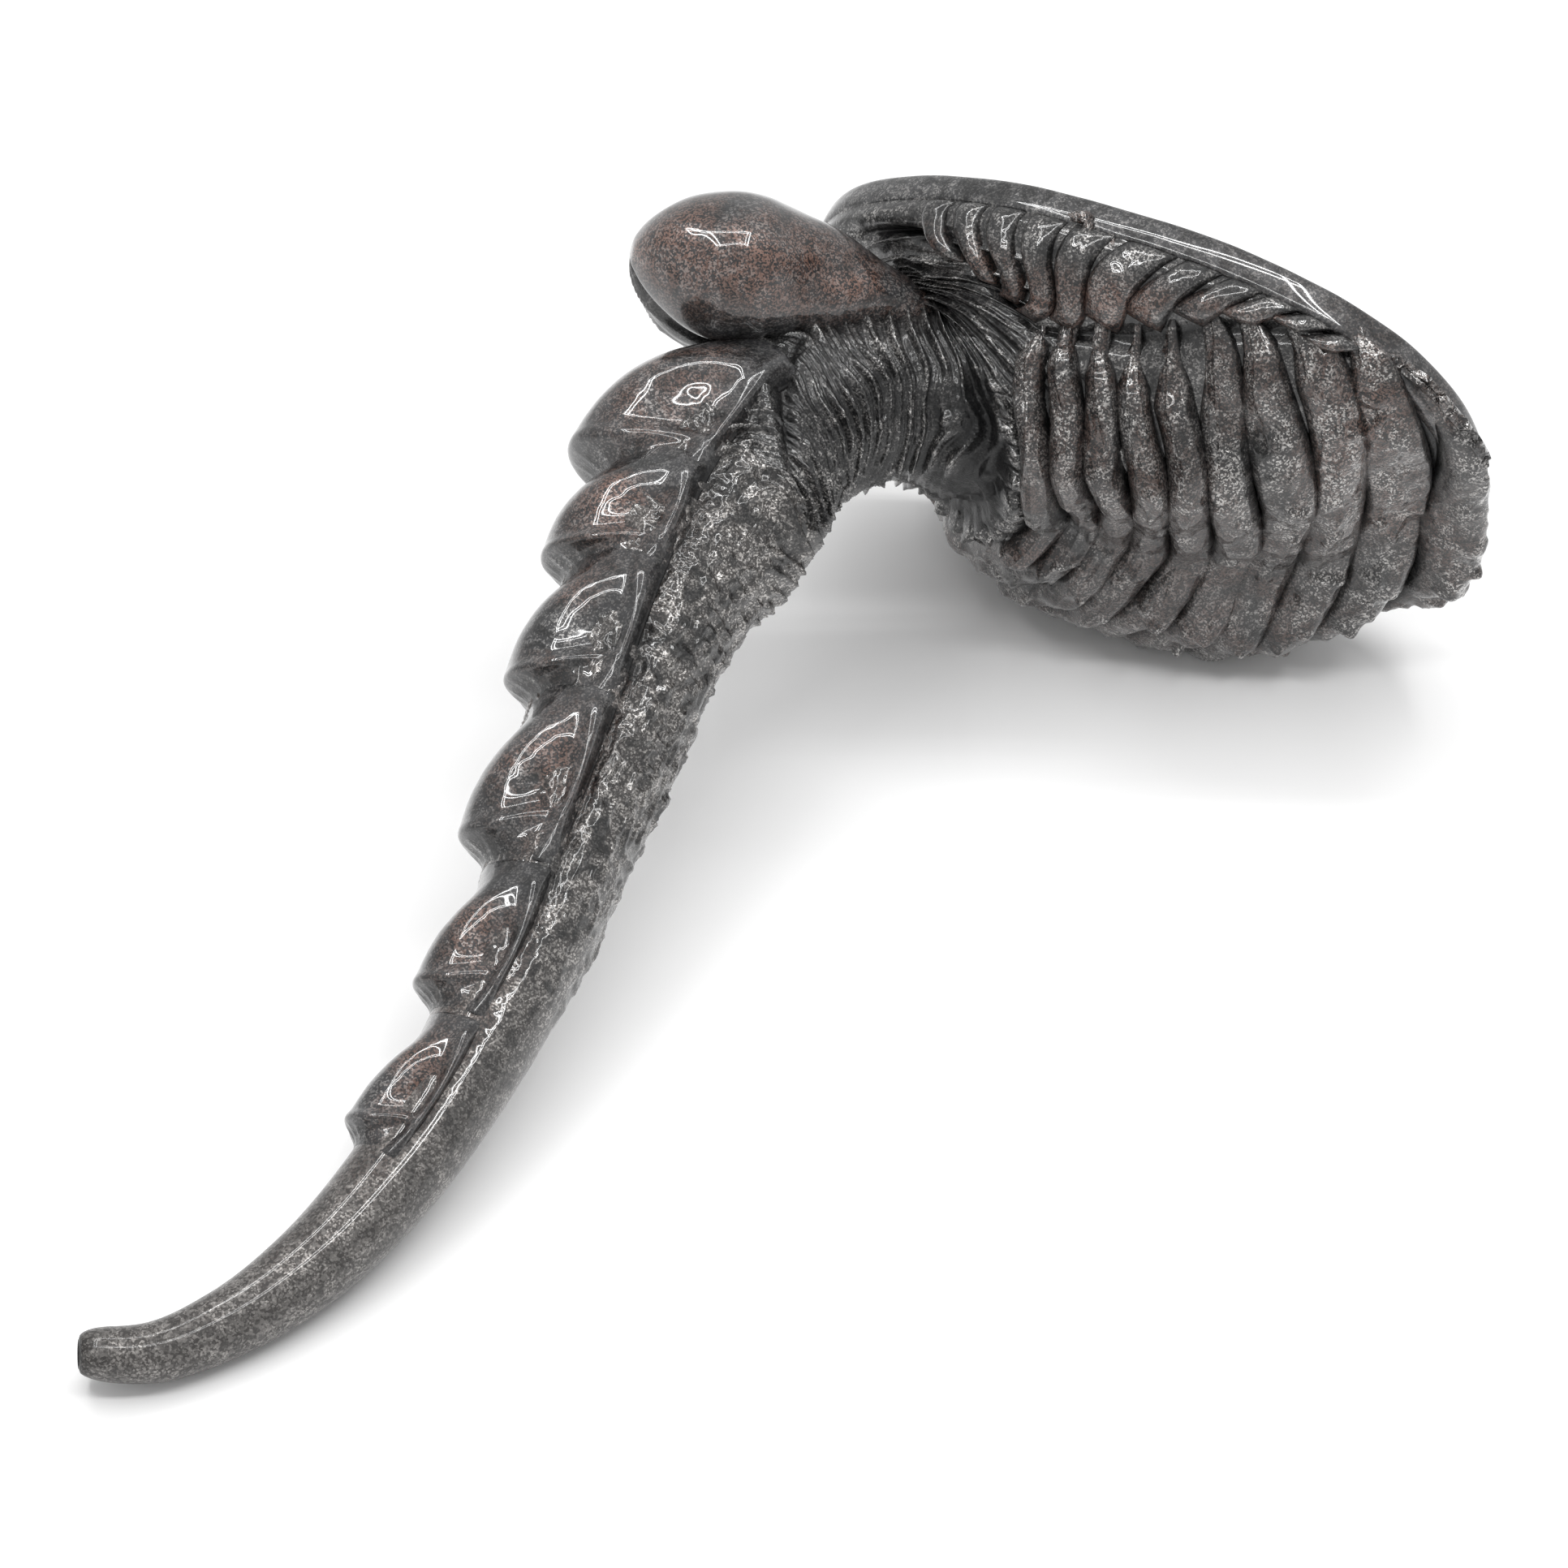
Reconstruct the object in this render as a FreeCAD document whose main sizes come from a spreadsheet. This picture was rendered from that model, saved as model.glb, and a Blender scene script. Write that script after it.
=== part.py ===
import FreeCAD, Part
import math
import os

# A sculpted shofar: a flared, ribbed bell on a bent neck, and a long tapering tail with a
# crest of six scutes.  Everything is drawn in the horn's own plane: u runs along the mouth's
# long axis, v runs into the horn from the mouth face, w is the side of the symmetry plane.
# One placement then lays the horn down.  Millimetres and degrees throughout.

os.makedirs("parts", exist_ok=True)
doc = FreeCAD.newDocument("shofar")
V = FreeCAD.Vector

# ---------------------------------------------------------------- driving values

# bell sections, mouth to throat: near end (u, v), far end (u, v), half width, side offset, twist
BELL = (
    ("face", 62.0, 0.0, -70.0, 0.0, 48.0, 1.5, 20.0),
    ("lip", 62.0, 5.0, -69.5, 5.0, 48.0, 1.5, 20.0),
    ("flare", 58.0, 11.0, -58.5, 17.0, 46.0, -3.0, 14.0),
    ("belly", 52.0, 13.0, -43.0, 27.0, 40.0, -6.2, 3.0),
    ("waist", 47.5, 13.5, -19.5, 36.0, 33.0, -5.0, 0.0),
    ("collar", 44.0, 13.8, 4.0, 40.5, 21.5, -2.0, 0.0),
    ("throat", 42.4, 14.5, 23.6, 41.5, 16.45, 0.0, 0.0),
)
# what the hollow keeps at each bell section: half length and half width
HOLLOW = (
    ("face", 61.0, 42.0),
    ("lip", 60.5, 42.0),
    ("flare", 48.0, 34.5),
    ("belly", 34.5, 26.0),
    ("waist", 23.0, 18.5),
    ("collar", 15.5, 13.8),
    ("throat", 12.3, 12.2),
)
# round sections down the spine: u, v, outer radius, bore radius
SPINE = (
    ("throat", 33.0, 28.0, 16.45, 12.2),
    ("nape", 44.0, 36.5, 16.5, 12.2),
    ("bend", 53.0, 49.0, 17.5, 12.8),
    ("shoulder", 57.0, 66.0, 17.8, 12.8),
    ("saddle", 56.6, 83.0, 17.0, 12.2),
    ("upper", 54.0, 102.5, 15.2, 11.0),
    ("second", 50.0, 124.0, 13.8, 9.8),
    ("third", 47.0, 143.5, 12.2, 8.6),
    ("middle", 44.0, 161.0, 11.0, 7.5),
    ("fourth", 42.7, 178.0, 9.8, 6.5),
    ("fifth", 42.5, 196.0, 8.8, 5.6),
    ("sixth", 44.0, 213.0, 8.0, 4.8),
    ("ankle", 48.0, 230.5, 7.0, 4.0),
    ("heel", 55.0, 246.0, 5.8, 3.2),
    ("reed", 62.7, 256.0, 5.0, 2.5),
)
NUMBERS = {
    "tip_length": 12.6,
    "tip_end_radius": 3.6,
    "tip_waist_radius": 4.8,
    "rib_height": 5.4,
    "rib_count": 8,
    "rib_first_angle": 113.0,
    "rib_step_angle": 7.0,
    "rib_gap_angle": 0.9,
    "fan_u": 30.0,
    "fan_v": -16.0,
    "crease_angle": 32.0,
    "crease_offset": 12.0,
    "pod_count": 11,
    "pod_first_u": 44.0,
    "pod_step_u": 6.0,
    "pod_half_width": 2.7,
    "pod_height": 6.5,
    "pod_start": 6.3,
    "pod_clear": 6.5,
    "pod_shortest": 6.0,
    "pod_longest": 13.0,
    "knob_long": 25.0,
    "knob_wide": 12.0,
    "knob_high": 12.0,
    "knob_along": 67.0,
    "knob_deep": 29.0,
    "knob_side": 15.0,
    "scute_thick": 8.0,
    "settle_angle": -0.6,
    "floor_drop": 52.74,
    "shift_x": 58.93,
    "shift_y": 86.87,
}

sheet = doc.addObject("Spreadsheet::Sheet", "Sizes")
row_number = 0


# cutting tools only: blocks and cylinders that reach well past the horn
TOOL_LONG = 260.0
TOOL_DEEP = 120.0
TOOL_TALL = 160.0
GROUND_SPAN = 600.0
GROUND_DEEP = 60.0
# headings in the plane of the horn's bend
REED_HEADING = FreeCAD.Vector(0.844, 0.536, 0)
KNOB_HEADING = FreeCAD.Vector(0.92, 0.39, 0)


def put(alias, number):
    """Write one plain number into the sheet and give the cell its name."""
    global row_number
    row_number += 1
    sheet.set("A%d" % row_number, alias)
    sheet.set("B%d" % row_number, repr(float(number)))
    sheet.setAlias("B%d" % row_number, alias)


for name, near_u, near_v, far_u, far_v, wide, side, twist in BELL:
    put("bell_%s_long" % name, math.hypot(near_u - far_u, near_v - far_v) / 2.0)
    put("bell_%s_wide" % name, wide)
    put("bell_%s_side" % name, side)
    put("bell_%s_twist" % name, twist)
for name, hollow_long, hollow_wide in HOLLOW:
    put("hollow_%s_long" % name, hollow_long)
    put("hollow_%s_wide" % name, hollow_wide)
for name, along, deep, radius, bore in SPINE:
    put("spine_%s_along" % name, along)
    put("spine_%s_deep" % name, deep)
    put("spine_%s_radius" % name, radius)
    put("spine_%s_bore" % name, bore)
for name, number in NUMBERS.items():
    put(name, number)
doc.recompute()


def value(alias):
    """The number the sheet holds under a name."""
    return float(sheet.get(alias))


# ---------------------------------------------------------------- laying the horn down

LEAN = 0.4375
FLAT = math.sqrt(1.0 - LEAN * LEAN)
LOOK = math.radians(44.0)
ACROSS = V(1, 0, 0)
UPWARD = V(0, math.sin(LOOK), math.cos(LOOK))
AWAY = V(0, math.cos(LOOK), -math.sin(LOOK))
side_axis = (ACROSS * (LEAN * 0.492) + UPWARD * (LEAN * 0.870) - AWAY * FLAT).normalize()
mouth_axis = ACROSS * (FLAT * 0.492) + UPWARD * (FLAT * 0.870) + AWAY * LEAN
mouth_axis = (mouth_axis - side_axis * side_axis.dot(mouth_axis)).normalize()
deep_axis = mouth_axis * -1.0
long_axis = deep_axis.cross(side_axis)
LAY_TURN = FreeCAD.Rotation(long_axis, deep_axis, side_axis, "ZXY")
SETTLE = FreeCAD.Rotation(V(-0.803, 0.596, 0), value("settle_angle"))
SHIFT = V(value("shift_x"), value("shift_y"), value("floor_drop"))
LAY = FreeCAD.Placement(SHIFT, SETTLE.multiply(LAY_TURN))

# ---------------------------------------------------------------- section makers


def bind(thing, prop, formula):
    """Drive one property from the sheet."""
    thing.setExpression(prop, formula)


def bell_section(name, kind, grow=0.0):
    """One elliptical bell section.  kind is 'bell' or 'hollow'; grow widens it all round."""
    near_u, near_v, far_u, far_v = [entry for entry in BELL if entry[0] == name][0][1:5]
    centre = V((near_u + far_u) / 2.0, (near_v + far_v) / 2.0, 0)
    flat_along = V(near_u - far_u, near_v - far_v, 0).normalize()
    twist = math.radians(value("bell_%s_twist" % name))
    along = flat_along * math.cos(twist) - V(0, 0, 1) * math.sin(twist)
    across = flat_along * math.sin(twist) + V(0, 0, 1) * math.cos(twist)
    ring = doc.addObject("Part::Ellipse", "%s_%s_ring" % (kind, name))
    bind(ring, "MajorRadius", "Sizes.%s_%s_long + %g" % (kind, name, grow))
    bind(ring, "MinorRadius", "Sizes.%s_%s_wide + %g" % (kind, name, grow))
    ring.Placement = FreeCAD.Placement(
        centre, FreeCAD.Rotation(along, across, along.cross(across), "ZXY"))
    bind(ring, "Placement.Base.z", "Sizes.bell_%s_side" % name)
    return ring


def spine_frame(name):
    """The placement of a round section, square to the spine where it stands."""
    index = [entry[0] for entry in SPINE].index(name)
    here = V(SPINE[index][1], SPINE[index][2], 0)
    if name == "throat":
        near_u, near_v, far_u, far_v = BELL[-1][1:5]
        outward = V(near_u - far_u, near_v - far_v, 0).normalize()
        return FreeCAD.Placement(here, FreeCAD.Rotation(
            outward, V(0, 0, 1), outward.cross(V(0, 0, 1)), "ZXY"))
    before = SPINE[index - 1]
    after = SPINE[min(index + 1, len(SPINE) - 1)]
    if name == "reed":
        before = SPINE[index - 1]
        tangent = V(REED_HEADING).normalize()
    else:
        tangent = V(after[1] - before[1], after[2] - before[2], 0).normalize()
    outward = V(tangent.y, -tangent.x, 0)
    return FreeCAD.Placement(
        here, FreeCAD.Rotation(outward, V(0, 0, 1), outward.cross(V(0, 0, 1)), "ZXY"))


def spine_section(name, kind, grow=0.0):
    """One round section.  kind is 'radius' for the outside or 'bore' for the air way."""
    ring = doc.addObject("Part::Circle", "%s_%s_ring" % (name, kind))
    bind(ring, "Radius", "Sizes.spine_%s_%s + %g" % (name, kind, grow))
    ring.Placement = spine_frame(name)
    bind(ring, "Placement.Base.x", "Sizes.spine_%s_along" % name)
    bind(ring, "Placement.Base.y", "Sizes.spine_%s_deep" % name)
    return ring


def loft(name, rings, ruled=False):
    """A solid skinned over closed sections."""
    skin = doc.addObject("Part::Loft", name)
    skin.Sections = rings
    skin.Solid = True
    skin.Ruled = ruled
    return skin


def cut(name, base, tool):
    """base with tool taken away."""
    result = doc.addObject("Part::Cut", name)
    result.Base = base
    result.Tool = tool
    return result


def common(name, first, second):
    """What two solids share."""
    result = doc.addObject("Part::MultiCommon", name)
    result.Shapes = [first, second]
    return result


def fuse(name, things):
    """Several tools as one, used only to cut with."""
    result = doc.addObject("Part::MultiFuse", name)
    result.Shapes = things
    return result


nodes = []


def node(thing, label):
    """Name a finished sub-part and lay it down with the rest."""
    thing.Label = label
    thing.Placement = LAY
    nodes.append(thing)
    return thing


# ---------------------------------------------------------------- bell

bell_names = [entry[0] for entry in BELL]
rim_blank = loft("rim_blank", [bell_section(n, "bell") for n in bell_names[:2]], True)
rim_hollow = loft("rim_hollow", [bell_section(n, "hollow") for n in bell_names[:2]], True)
node(cut("bell_rim_cut", rim_blank, rim_hollow), "bell_rim")

shell_blank = loft("shell_blank", [bell_section(n, "bell") for n in bell_names[1:6]])
shell_hollow = loft("shell_hollow", [bell_section(n, "hollow") for n in bell_names[1:6]])
node(cut("bell_shell_cut", shell_blank, shell_hollow), "bell_shell")

# ---------------------------------------------------------------- neck, tail and tip


def pipe(label, names, outer_start=(), way_start=()):
    """A stretch of horn between the first and last named section, with its air way."""
    blank = loft(label + "_blank", list(outer_start) + [spine_section(n, "radius") for n in names])
    way = loft(label + "_way", list(way_start) + [spine_section(n, "bore") for n in names], True)
    node(cut(label + "_cut", blank, way), label)
    return blank


spine_names = [entry[0] for entry in SPINE]
neck_blank = pipe("neck", spine_names[:4], [bell_section("collar", "bell")],
                  [bell_section("collar", "hollow")])
tail_blank = pipe("tail_shaft", spine_names[3:])

tip_frame = spine_frame("reed")
tip_axis = tip_frame.Rotation.multVec(V(0, 0, 1))
if tip_axis.dot(REED_HEADING) < 0:
    tip_axis = tip_axis * -1.0


def tip_ring(name, formula, distance):
    """A round section of the tip, a distance out from where the tail stops."""
    ring = doc.addObject("Part::Circle", name)
    bind(ring, "Radius", formula)
    ring.Placement = FreeCAD.Placement(
        tip_frame.Base + tip_axis * distance, tip_frame.Rotation)
    return ring


tip_blank = loft("tip_blank", [
    spine_section("reed", "radius"),
    tip_ring("tip_waist_ring", "Sizes.tip_waist_radius", value("tip_length") * 0.6),
    tip_ring("tip_end_ring", "Sizes.tip_end_radius", value("tip_length"))])
tip_way = doc.addObject("Part::Cylinder", "tip_way")
bind(tip_way, "Radius", "Sizes.spine_reed_bore")
bind(tip_way, "Height", "Sizes.tip_length")
tip_way.Placement = FreeCAD.Placement(
    tip_frame.Base, FreeCAD.Rotation(V(0, 0, 1), tip_axis))
node(cut("tip_cut", tip_blank, tip_way), "mouthpiece_tip")

# ---------------------------------------------------------------- belly ribs

swell = value("rib_height")
envelope = loft("rib_envelope", [
    bell_section("lip", "bell", swell * 0.5),
    bell_section("flare", "bell", swell),
    bell_section("belly", "bell", swell),
    bell_section("waist", "bell", swell),
    bell_section("collar", "bell", swell * 0.3)])
rib_skin = cut("rib_skin", envelope, shell_blank)
crease = doc.addObject("Part::Box", "crease_block")
crease.Length = TOOL_LONG
crease.Width = TOOL_DEEP
crease.Height = TOOL_TALL
crease_turn = FreeCAD.Rotation(V(0, 0, 1), value("crease_angle"))
crease_out = crease_turn.multVec(V(0, 1, 0))
crease.Placement = FreeCAD.Placement(
    crease_out * value("crease_offset") - crease_turn.multVec(V(1, 0, 0)) * TOOL_LONG / 2.0
    + V(0, 0, -TOOL_TALL / 2.0), crease_turn)
rib_raw = common("rib_raw", rib_skin, crease)
ground = doc.addObject("Part::Box", "ground_block")
ground.Length = GROUND_SPAN
ground.Width = GROUND_SPAN
ground.Height = GROUND_DEEP
ground.Placement = LAY.inverse().multiply(
    FreeCAD.Placement(V(-GROUND_SPAN / 2.0, -GROUND_SPAN / 2.0, -GROUND_DEEP), FreeCAD.Rotation()))
rib_band = cut("rib_band", rib_raw, ground)
for index in range(int(value("rib_count"))):
    slice_tool = doc.addObject("Part::Cylinder", "rib_slice_%d" % (index + 1))
    slice_tool.Radius = TOOL_TALL
    slice_tool.Height = TOOL_TALL
    bind(slice_tool, "Angle", "Sizes.rib_step_angle - Sizes.rib_gap_angle")
    start = value("rib_first_angle") + index * value("rib_step_angle")
    slice_tool.Placement = FreeCAD.Placement(
        V(value("fan_u"), value("fan_v"), -TOOL_TALL / 2.0), FreeCAD.Rotation(V(0, 0, 1), start))
    rib = common("rib_common_%d" % (index + 1), rib_band, slice_tool)
    node(rib, "belly_rib_%d" % (index + 1))

# ---------------------------------------------------------------- shoulder pods

bell_seat = fuse("bell_seat", [rim_blank, shell_blank])


def crease_depth(along):
    """How deep the crease lies under the mouth face at one place along the mouth."""
    return (value("crease_offset") - crease_out.x * along) / crease_out.y


def shell_half_width(along, deep):
    """Half width and side offset of the shell where a straight line in w meets it."""
    line = Part.makeLine(V(along, deep, -90), V(along, deep, 90))
    hit = shell_blank.Shape.common(line)
    return hit.BoundBox.ZMin, hit.BoundBox.ZMax


doc.recompute()
for index in range(int(value("pod_count"))):
    along = value("pod_first_u") - index * value("pod_step_u")
    length = min(max(crease_depth(along) - value("pod_clear"), value("pod_shortest")),
                 value("pod_longest"))
    deep = value("pod_start") + length / 2.0
    low, high = shell_half_width(along, deep)
    for side, seat, word in ((1, high, "near"), (-1, low, "off")):
        blob = doc.addObject("Part::Ellipsoid", "pod_blank_%s_%d" % (word, index + 1))
        bind(blob, "Radius1", "Sizes.pod_height * 0.5")
        bind(blob, "Radius2", "Sizes.pod_half_width")
        blob.Radius3 = length / 2.0
        blob.Placement = FreeCAD.Placement(
            V(along, deep, seat), FreeCAD.Rotation(V(1, 0, 0), V(0, 1, 0), V(0, 0, 1), "ZXY"))
        node(cut("pod_cut_%s_%d" % (word, index + 1), blob, bell_seat),
             "shoulder_pod_%s_%d" % (word, index + 1))

# ---------------------------------------------------------------- crown knob

knob = doc.addObject("Part::Ellipsoid", "knob_blank")
bind(knob, "Radius1", "Sizes.knob_high")
bind(knob, "Radius2", "Sizes.knob_long")
bind(knob, "Radius3", "Sizes.knob_wide")
knob_along = V(KNOB_HEADING).normalize()
knob_up = V(0, 0, 1)
knob.Placement = FreeCAD.Placement(
    V(value("knob_along"), value("knob_deep"), value("knob_side")),
    FreeCAD.Rotation(knob_along, knob_up.cross(knob_along), knob_up, "ZXY"))


def seat(name, thing, solids):
    """Cut a piece back to where it sits against each of the solids it touches."""
    for number, solid in enumerate(solids):
        thing = cut("%s_seat_%d" % (name, number + 1), thing, solid)
    return thing


node(seat("knob", knob, [neck_blank, shell_blank, rim_blank]), "crown_knob")

# ---------------------------------------------------------------- crest scutes

SCUTES = (
    ("scute_one", "bend", 0.55, 29.0, 12.0),
    ("scute_two", "shoulder", 0.95, 25.0, 11.5),
    ("scute_three", "upper", 0.1, 24.0, 11.0),
    ("scute_four", "second", 0.35, 27.0, 11.0),
    ("scute_five", "middle", 0.15, 26.0, 10.0),
    ("scute_six", "fifth", -0.10, 20.0, 8.0),
)


def spine_at(name, fraction):
    """A point, tangent and radius on the spine, a fraction of the way to the next section."""
    index = spine_names.index(name)
    step = 1 if fraction >= 0 else -1
    first, second = SPINE[index], SPINE[index + step]
    share = abs(fraction)
    point = V(first[1], first[2], 0) * (1 - share) + V(second[1], second[2], 0) * share
    run = V(second[1] - first[1], second[2] - first[2], 0) * step
    return point, run.normalize(), first[3] * (1 - share) + second[3] * share


crest_lean = math.radians(38.0)
for name, station, fraction, length, rise in SCUTES:
    point, tangent, radius = spine_at(station, fraction)
    outward = V(tangent.y, -tangent.x, 0)
    upright = outward * math.cos(crest_lean) + V(0, 0, 1) * math.sin(crest_lean)
    flank = tangent.cross(upright)
    body = doc.addObject("PartDesign::Body", name + "_body")
    sketch = body.newObject("Sketcher::SketchObject", name + "_sketch")
    plane = [f for f in body.Origin.OriginFeatures if f.Role == "XY_Plane"][0]
    sketch.AttachmentSupport = (plane, [""])
    sketch.MapMode = "FlatFace"
    start = V(-length * 0.62, radius * 0.55, 0)
    crown = V(-length * 0.10, radius + rise * 0.62, 0)
    tip_point = V(length * 0.34, radius + rise * 0.98, 0)
    hook = V(length * 0.24, radius + rise * 0.30, 0)
    foot = V(length * 0.42, radius * 0.55, 0)
    sketch.addGeometry(Part.Arc(start, crown, tip_point), False)
    sketch.addGeometry(Part.LineSegment(tip_point, hook), False)
    sketch.addGeometry(Part.LineSegment(hook, foot), False)
    sketch.addGeometry(Part.LineSegment(foot, start), False)
    pad = body.newObject("PartDesign::Pad", name + "_pad")
    pad.Profile = sketch
    pad.SideType = "Symmetric"
    bind(pad, "Length", "Sizes.scute_thick")
    body.Tip = pad
    body.Placement = FreeCAD.Placement(
        point, FreeCAD.Rotation(tangent, upright, flank, "ZXY"))
    hosts = {"bend": [neck_blank, tail_blank], "shoulder": [neck_blank, tail_blank]}
    node(seat(name, body, hosts.get(station, [tail_blank])), "crest_" + name)

# ---------------------------------------------------------------- finish

doc.recompute()
for thing in doc.Objects:
    bad = [state for state in thing.State if state in ("Invalid", "Error")]
    if bad:
        raise RuntimeError("%s is %s" % (thing.Name, bad))
for thing in nodes:
    if thing.Shape.isNull() or not thing.Shape.isValid():
        raise RuntimeError("%s has a broken shape" % thing.Label)
    if len(thing.Shape.Solids) != 1:
        raise RuntimeError("%s has %d solids" % (thing.Label, len(thing.Shape.Solids)))
    thing.Shape.exportStep("parts/%s.step" % thing.Label)
box = FreeCAD.BoundBox()
for thing in nodes:
    box.add(thing.Shape.BoundBox)
print("nodes", len(nodes), "box", box)
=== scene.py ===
"""A sculpted shofar in dark lacquer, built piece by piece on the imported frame."""

import logging
import math
from dataclasses import dataclass
from enum import Enum
from typing import Callable, Sequence

import bpy
import numpy as np
from mathutils import Matrix, Vector


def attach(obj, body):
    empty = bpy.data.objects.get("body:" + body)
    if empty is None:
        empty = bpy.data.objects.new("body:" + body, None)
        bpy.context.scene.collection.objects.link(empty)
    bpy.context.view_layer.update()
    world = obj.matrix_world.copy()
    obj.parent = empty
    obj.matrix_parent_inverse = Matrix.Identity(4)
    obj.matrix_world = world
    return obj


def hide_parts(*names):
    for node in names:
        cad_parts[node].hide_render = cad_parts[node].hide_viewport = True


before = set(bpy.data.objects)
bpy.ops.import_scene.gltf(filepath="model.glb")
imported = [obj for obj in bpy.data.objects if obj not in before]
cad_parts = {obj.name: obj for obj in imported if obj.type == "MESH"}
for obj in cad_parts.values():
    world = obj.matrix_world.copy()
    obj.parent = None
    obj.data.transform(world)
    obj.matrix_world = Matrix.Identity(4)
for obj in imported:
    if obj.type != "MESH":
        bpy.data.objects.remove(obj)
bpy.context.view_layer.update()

logging.basicConfig(level=logging.INFO, format="%(message)s")
LOG = logging.getLogger("shofar")
MM = 0.001
TINY = 1e-9
Field = np.ndarray
LOOK_DEGREES = 44.0
SETTLE_DEGREES = -0.6
SETTLE_AXIS = (-0.803, 0.596, 0.0)


def settling() -> Matrix:
    """The small turn by which the horn settles onto the floor."""
    return Matrix.Rotation(math.radians(SETTLE_DEGREES), 3, Vector(SETTLE_AXIS))


# ------------------------------------------------------------------ small maths


def ease(low: float, high: float, amount: Field) -> Field:
    """A smooth step.

    Args:
        low: where the step starts.
        high: where the step ends.
        amount: the values to step.

    Returns:
        0 below low, rising to 1 above high.
    """
    t = np.clip((amount - low) / (high - low), 0.0, 1.0)
    return t * t * (3.0 - 2.0 * t)


def hump(amount: Field, centre: Field | float, width: Field | float) -> Field:
    """A rounded bump of height 1 at centre."""
    return np.exp(-(((amount - centre) / width) ** 2))


class Grain:
    """Repeatable noise in space, in millimetres."""

    def __init__(self, seed: int) -> None:
        """Keep the seed that sets the pattern."""
        self.seed = seed

    def _corner(self, x: Field, y: Field, z: Field) -> Field:
        """A fixed random number for each lattice corner.

        Args:
            x, y, z: whole numbers.

        Returns:
            Numbers from -1 to 1.
        """
        mixed = (x * 73856093) ^ (y * 19349663) ^ (z * 83492791) ^ (self.seed * 2654435)
        mixed = (mixed ^ (mixed >> 13)) * 1274126177
        mixed = mixed ^ (mixed >> 16)
        return (mixed & 0xFFFF) / 32767.5 - 1.0

    def at(self, points: Field, size: float) -> Field:
        """Smooth noise.

        Args:
            points: places in millimetres, with x, y, z on the last axis.
            size: how far apart the lumps are, in millimetres.

        Returns:
            A number from -1 to 1 for each place.
        """
        scaled = points / size
        base = np.floor(scaled).astype(np.int64)
        part = scaled - base
        part = part * part * (3.0 - 2.0 * part)
        total = np.zeros(points.shape[:-1])
        for dx in (0, 1):
            wx = part[..., 0] if dx else 1.0 - part[..., 0]
            for dy in (0, 1):
                wy = part[..., 1] if dy else 1.0 - part[..., 1]
                for dz in (0, 1):
                    wz = part[..., 2] if dz else 1.0 - part[..., 2]
                    corner = self._corner(base[..., 0] + dx, base[..., 1] + dy, base[..., 2] + dz)
                    total += wx * wy * wz * corner
        return total

    def rough(self, points: Field, size: float, layers: int = 3) -> Field:
        """Several layers of noise, each half the size and strength of the last.

        Args:
            points: places in millimetres.
            size: the largest lumps' spacing, in millimetres.
            layers: how many layers.

        Returns:
            About -1 to 1 for each place.
        """
        total = np.zeros(points.shape[:-1])
        for layer in range(layers):
            total += self.at(points + 17.3 * layer, size / 2**layer) / 2**layer
        return total / 1.6

    def worms(self, points: Field, size: float) -> Field:
        """Winding ridges.

        Args:
            points: places in millimetres.
            size: how far apart the ridges are, in millimetres.

        Returns:
            1 along a ridge and 0 between ridges.
        """
        first = np.abs(self.at(points, size))
        second = np.abs(self.at(points + 51.7, size * 0.7))
        return 1.0 - np.clip(np.minimum(first, second) * 3.2, 0.0, 1.0)


GRAIN = Grain(7)
FINE = Grain(23)


# ------------------------------------------------------------------ the horn's own shape


@dataclass(frozen=True)
class Station:
    """One cross-section of the horn, in millimetres in the horn's plane."""

    along: float
    deep: float
    side: float
    long_u: float
    long_v: float
    half_long: float
    half_wide: float
    twist: float
    fullness: float


@dataclass(frozen=True)
class BellSection:
    """An oval section given by the two ends of its long axis."""

    near: tuple[float, float]
    far: tuple[float, float]
    half_wide: float
    side: float
    twist: float
    fullness: float

    def station(self) -> Station:
        """The same section as a station.

        Returns:
            The station.
        """
        run_u = self.near[0] - self.far[0]
        run_v = self.near[1] - self.far[1]
        length = math.hypot(run_u, run_v)
        return Station(
            (self.near[0] + self.far[0]) / 2, (self.near[1] + self.far[1]) / 2, self.side,
            run_u / length, run_v / length, length / 2, self.half_wide,
            math.radians(self.twist), self.fullness)


BELL_SECTIONS = (
    BellSection((62.0, 0.0), (-70.0, 0.0), 48.0, 1.5, 20.0, 2.35),
    BellSection((62.0, 5.0), (-69.5, 5.0), 48.0, 1.5, 20.0, 2.35),
    BellSection((58.0, 11.0), (-58.5, 17.0), 46.0, -3.0, 14.0, 2.3),
    BellSection((52.0, 13.0), (-43.0, 27.0), 40.0, -6.2, 3.0, 2.25),
    BellSection((47.5, 13.5), (-19.5, 36.0), 33.0, -5.0, 0.0, 2.15),
    BellSection((44.0, 13.8), (4.0, 40.5), 21.5, -2.0, 0.0, 2.1),
    BellSection((42.4, 14.5), (23.6, 41.5), 16.45, 0.0, 0.0, 2.0),
)
ROUND_SECTIONS = (
    (44.0, 36.5, 16.5), (53.0, 49.0, 17.5), (57.0, 66.0, 17.8), (56.6, 83.0, 17.0),
    (54.0, 102.5, 15.2), (50.0, 124.0, 13.8), (47.0, 143.5, 12.2), (44.0, 161.0, 11.0),
    (42.7, 178.0, 9.8), (42.5, 196.0, 8.8), (44.0, 213.0, 8.0), (48.0, 230.5, 7.0),
    (55.0, 246.0, 5.8), (62.7, 256.0, 5.0), (73.0, 262.4, 4.3),
)
THROAT = (33.0, 28.0)
LEAST_STEP = 4.0
HORN_LEAN = 0.4375
MOUTH_ACROSS = 0.492
MOUTH_UPWARD = 0.870
MOUTH_PLACE = (58.93, 86.87, 52.74)
FAN_U = 30.0
FAN_V = -16.0
FAN_DEEPEST = 0.2
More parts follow.
